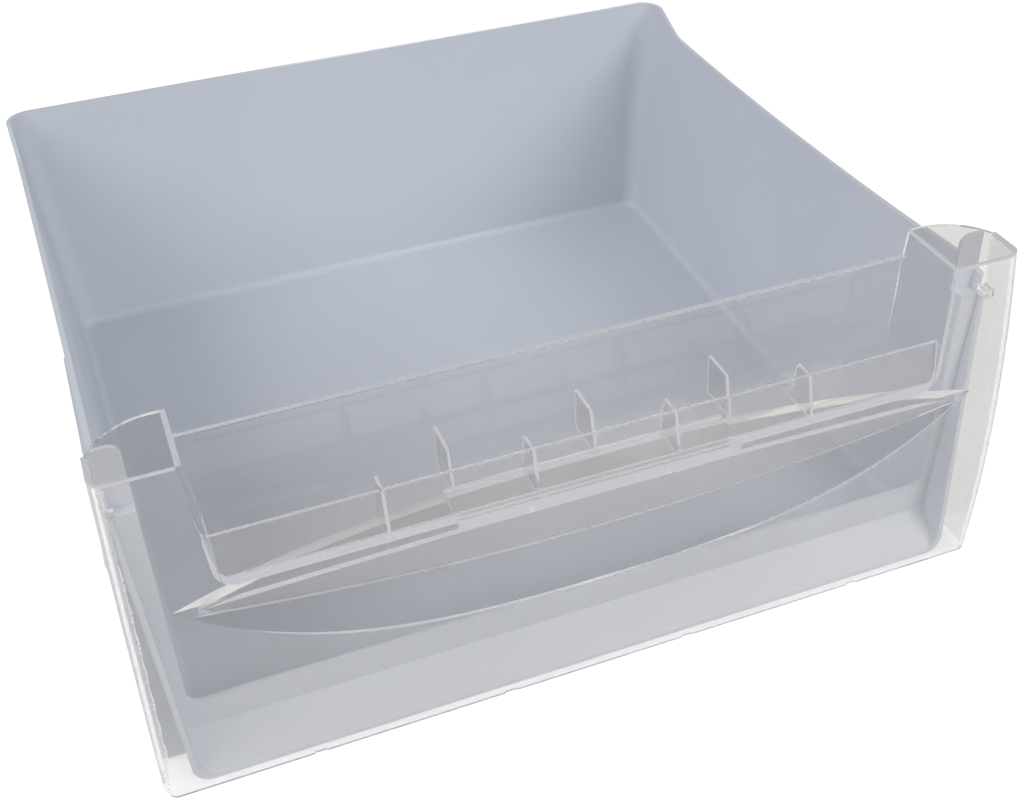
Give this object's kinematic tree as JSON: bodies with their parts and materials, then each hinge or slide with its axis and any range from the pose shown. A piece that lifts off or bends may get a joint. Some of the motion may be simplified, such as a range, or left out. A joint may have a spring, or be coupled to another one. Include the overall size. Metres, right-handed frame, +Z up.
{
  "type": "freezer drawer",
  "caption": "Freezer drawer: an open white moulded bin with a clear bowed front panel that has two towers, a ribbed trough and a wide finger pocket.",
  "frame": {"origin": "middle of the footprint, on the surface that the drawer stands on", "axes": "+X to the right along the front, +Y from the front to the back, +Z up"},
  "size_m": [0.4324, 0.41, 0.183],
  "materials": {
    "white_plastic": "satin moulded",
    "clear_plastic": "clear polished"
  },
  "bodies": {
    "root": {"drawer_bin": "white_plastic", "front_panel": "clear_plastic"}
  },
  "joints": []
}
